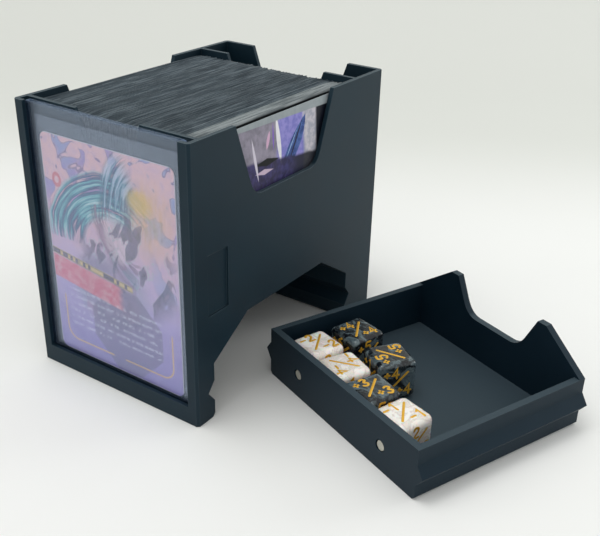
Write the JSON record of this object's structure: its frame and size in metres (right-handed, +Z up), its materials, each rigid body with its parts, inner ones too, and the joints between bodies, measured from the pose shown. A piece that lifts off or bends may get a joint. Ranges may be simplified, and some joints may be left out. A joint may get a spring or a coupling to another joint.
{
  "type": "card deck box with dice tray",
  "caption": "Printed deck box with a display window, finger notches and a tunnel underneath for a railed dice tray, with sleeved cards, toploader and dice.",
  "frame": {"origin": "middle of the whole set's footprint, on the table", "axes": "+X from the deck box towards the tray lying beside it, -Y the side with the display window, +Z up"},
  "size_m": [0.193, 0.119, 0.1064],
  "materials": {
    "printed_box": "satin, fine layer lines",
    "printed_tray": "satin, fine layer lines",
    "magnet": "nickel plated",
    "toploader": "clear rigid vinyl",
    "display_card": "printed card",
    "sleeve": "matte black sleeve backs",
    "clear_sleeve": "clear sleeve fronts",
    "white_die": "pearl resin",
    "black_die": "marbled resin"
  },
  "bodies": {
    "box": {"box_body": "printed_box", "box_magnet_front": "magnet", "box_magnet_back": "magnet"},
    "deck": {"packet_01": "sleeve", "packet_02": "sleeve", "packet_03": "sleeve", "packet_04": "sleeve", "packet_05": "sleeve", "packet_06": "sleeve", "packet_07": "sleeve", "packet_08": "sleeve", "packet_09": "sleeve", "packet_10": "sleeve", "packet_11": "sleeve", "packet_12": "sleeve", "packet_13": "sleeve", "packet_14": "sleeve", "packet_15": "sleeve", "packet_16": "sleeve", "packet_17": "sleeve", "packet_18": "sleeve", "packet_19": "sleeve", "packet_20": "sleeve", "packet_21": "sleeve", "packet_22": "sleeve", "packet_23": "sleeve", "packet_24": "sleeve", "packet_25": "sleeve", "outer_packet": "clear_sleeve"},
    "toploader": {"toploader": "toploader"},
    "display_card": {"display_card": "display_card"},
    "tray": {"dice_tray": "printed_tray", "tray_magnet_near": "magnet", "tray_magnet_far": "magnet"},
    "white_die_1": {"white_die_1": "white_die"},
    "white_die_2": {"white_die_2": "white_die"},
    "white_die_3": {"white_die_3": "white_die"},
    "black_die_1": {"black_die_1": "black_die"},
    "black_die_2": {"black_die_2": "black_die"},
    "black_die_3": {"black_die_3": "black_die"}
  },
  "joints": [
    {"name": "tray_turn", "type": "hinge", "parent": "box", "child": "tray", "pos_m": [0.02501, 0.00828, 0], "axis": [0, 0, 1], "range_deg": [-68, 0]},
    {"name": "deck_lift", "type": "slide", "parent": "box", "child": "deck", "axis": [0, 0, 1], "range_m": [0, 0.075]},
    {"name": "toploader_lift", "type": "slide", "parent": "box", "child": "toploader", "axis": [0, 0, 1], "range_m": [0, 0.105]},
    {"name": "display_card_lift", "type": "slide", "parent": "toploader", "child": "display_card", "axis": [0, 0, 1], "range_m": [0, 0.1]},
    {"name": "white_die_1_lift", "type": "slide", "parent": "tray", "child": "white_die_1", "axis": [0, 0, 1], "range_m": [0, 0.04]},
    {"name": "white_die_2_lift", "type": "slide", "parent": "tray", "child": "white_die_2", "axis": [0, 0, 1], "range_m": [0, 0.04]},
    {"name": "white_die_3_lift", "type": "slide", "parent": "tray", "child": "white_die_3", "axis": [0, 0, 1], "range_m": [0, 0.04]},
    {"name": "black_die_1_lift", "type": "slide", "parent": "tray", "child": "black_die_1", "axis": [0, 0, 1], "range_m": [0, 0.04]},
    {"name": "black_die_2_lift", "type": "slide", "parent": "tray", "child": "black_die_2", "axis": [0, 0, 1], "range_m": [0, 0.04]},
    {"name": "black_die_3_lift", "type": "slide", "parent": "tray", "child": "black_die_3", "axis": [0, 0, 1], "range_m": [0, 0.04]}
  ]
}
